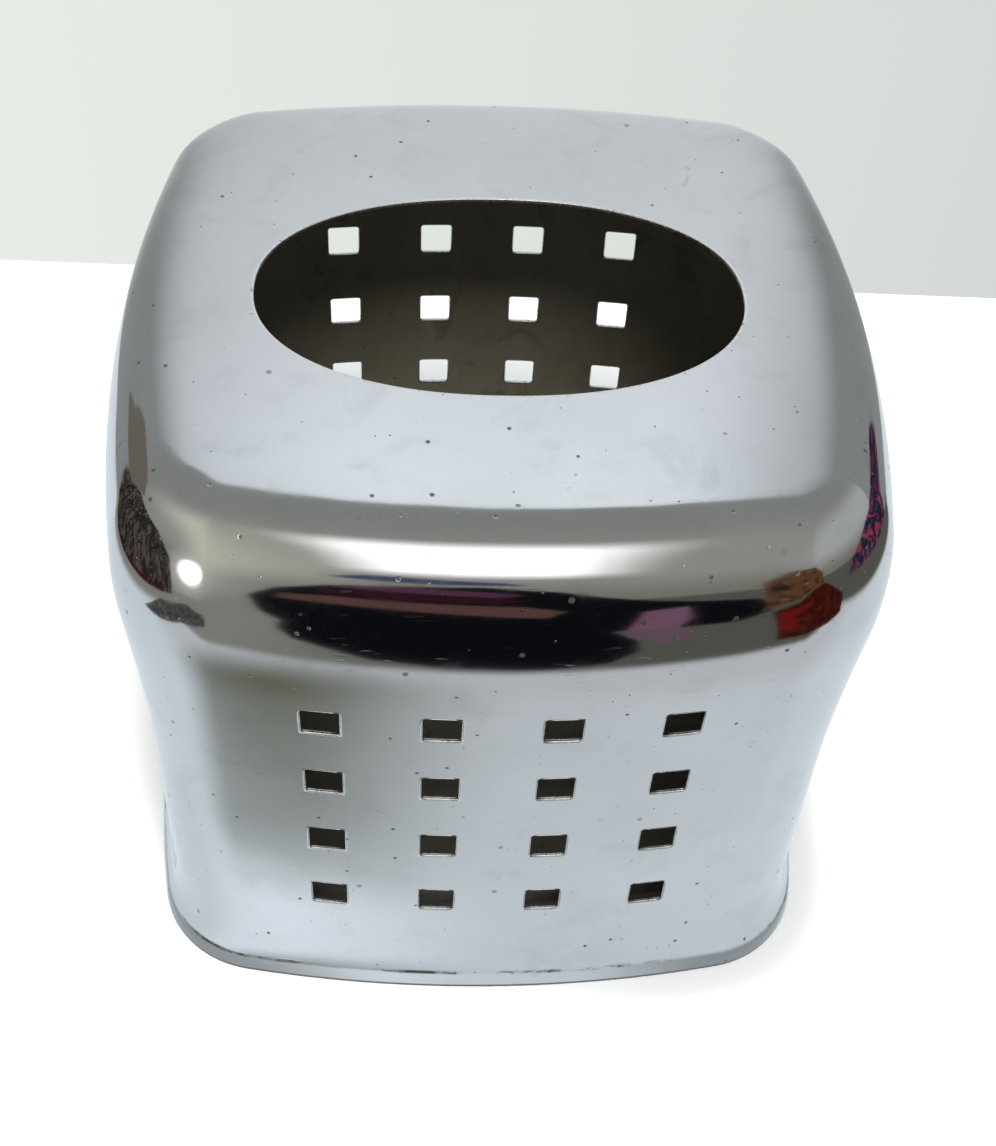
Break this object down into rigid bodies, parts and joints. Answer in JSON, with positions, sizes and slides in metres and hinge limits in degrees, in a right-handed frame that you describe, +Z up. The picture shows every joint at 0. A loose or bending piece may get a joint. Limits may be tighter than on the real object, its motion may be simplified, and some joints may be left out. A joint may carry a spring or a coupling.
{
  "type": "napkin dispenser",
  "caption": "Chromed pressed-steel cube cover with an oval mouth, square perforations and a flared foot, over a lift-off clip-in base with rubber feet.",
  "frame": {"origin": "centre of the footprint, on the surface the dispenser stands on", "axes": "+Z up, +X along the long axis of the oval mouth, +Y towards the back perforated wall"},
  "size_m": [0.1532, 0.1532, 0.1334],
  "materials": {
    "chromed_steel": "polished chrome with fine scratches and tarnish specks",
    "satin_steel": "dull mill finish",
    "spring_steel": "bright strip",
    "rivet_aluminium": "satin",
    "black_rubber": "matte"
  },
  "bodies": {
    "base": {"base_plate": "satin_steel", "base_clip_right": "spring_steel", "base_clip_back": "spring_steel", "base_clip_left": "spring_steel", "base_clip_front": "spring_steel", "clip_rivet_right": "rivet_aluminium", "clip_rivet_back": "rivet_aluminium", "clip_rivet_left": "rivet_aluminium", "clip_rivet_front": "rivet_aluminium", "rubber_foot_back_right": "black_rubber", "rubber_foot_back_left": "black_rubber", "rubber_foot_front_left": "black_rubber", "rubber_foot_front_right": "black_rubber"},
    "cover": {"cover_shell": "chromed_steel"}
  },
  "joints": [
    {"name": "cover_lift", "type": "slide", "parent": "base", "child": "cover", "axis": [0, 0, 1], "range_m": [0, 0.14]}
  ]
}
